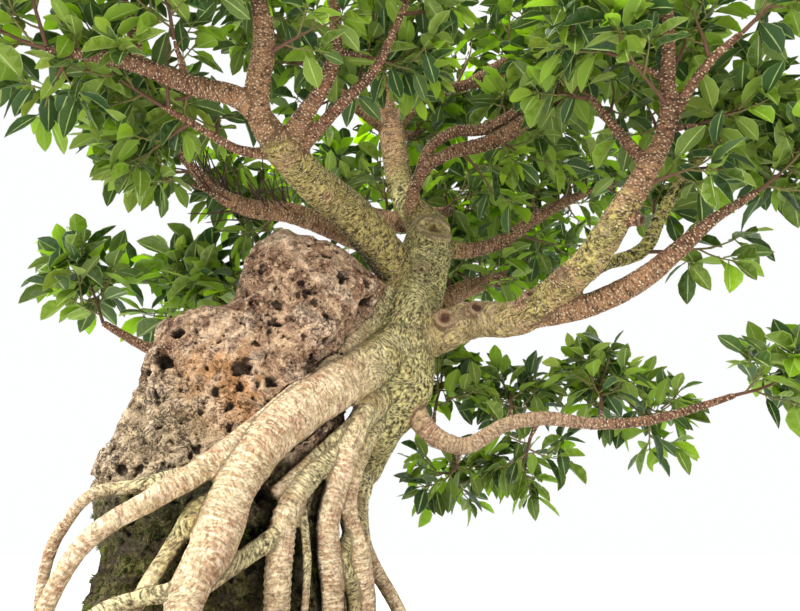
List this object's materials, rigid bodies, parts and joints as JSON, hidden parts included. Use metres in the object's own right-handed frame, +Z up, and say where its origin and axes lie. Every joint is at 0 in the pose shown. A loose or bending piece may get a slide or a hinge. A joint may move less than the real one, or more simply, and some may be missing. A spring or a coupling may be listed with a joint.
{
  "type": "chinese banyan bonsai",
  "caption": "Root-over-rock Chinese banyan bonsai: a gnarled trunk with aerial roots clasping a porous rock, spreading limbs with glossy leafy sprays, in a plain footed tray.",
  "frame": {"origin": "on the surface that the tray's feet stand on, under the middle of the whole tree's extent in X and Y", "axes": "+Z up, -Y the front that the picture is taken from, +X to the right as seen from the front; the low limb reaches towards +X"},
  "size_m": [1.0986, 0.7454, 1.1404],
  "materials": {
    "tray": "unglazed dark brown stoneware, matte",
    "soil": "damp grit and moss",
    "rock": "rough porous reddish-brown lava rock",
    "bark": "mossy bark, rough",
    "foliage": "glossy leathery leaves on brown twigs"
  },
  "bodies": {
    "root": {"banyan": "bark", "rock": "rock", "soil": "soil", "spray_back_left_side_3": "foliage", "spray_back_left_side_4": "foliage", "spray_back_left_tip": "foliage", "spray_crown_left_side_2": "foliage", "spray_crown_left_tip": "foliage", "spray_crown_right_side_2": "foliage", "spray_crown_right_tip": "foliage", "spray_crown_side_tip": "foliage", "spray_crown_up_tip": "foliage", "spray_knob_right_side_3": "foliage", "spray_knob_right_tip": "foliage", "spray_left_far_side_2": "foliage", "spray_left_far_tip": "foliage", "spray_left_inner_side_3": "foliage", "spray_left_inner_tip": "foliage", "spray_left_loop_tip": "foliage", "spray_left_rise_tip": "foliage", "spray_left_thin_tip": "foliage", "spray_left_up_tip": "foliage", "spray_low_left_side_2": "foliage", "spray_low_left_side_3": "foliage", "spray_low_left_tip": "foliage", "spray_low_right_side_1": "foliage", "spray_low_right_side_2": "foliage", "spray_low_right_side_3": "foliage", "spray_low_right_side_4": "foliage", "spray_low_right_side_5": "foliage", "spray_low_right_side_6": "foliage", "spray_low_right_tip": "foliage", "spray_middle_right_tip": "foliage", "spray_middle_up_side_5": "foliage", "spray_middle_up_tip": "foliage", "spray_rear_crown_tip": "foliage", "spray_rear_left_tip": "foliage", "spray_rear_middle_tip": "foliage", "spray_rear_right_side_2": "foliage", "spray_rear_right_tip": "foliage", "spray_right_inner_tip": "foliage", "spray_right_low_tip": "foliage", "spray_right_main_side_8": "foliage", "spray_right_main_side_9": "foliage", "spray_right_main_tip": "foliage", "spray_right_moss_tip": "foliage", "spray_right_outer_tip": "foliage", "tray": "tray"}
  },
  "joints": []
}
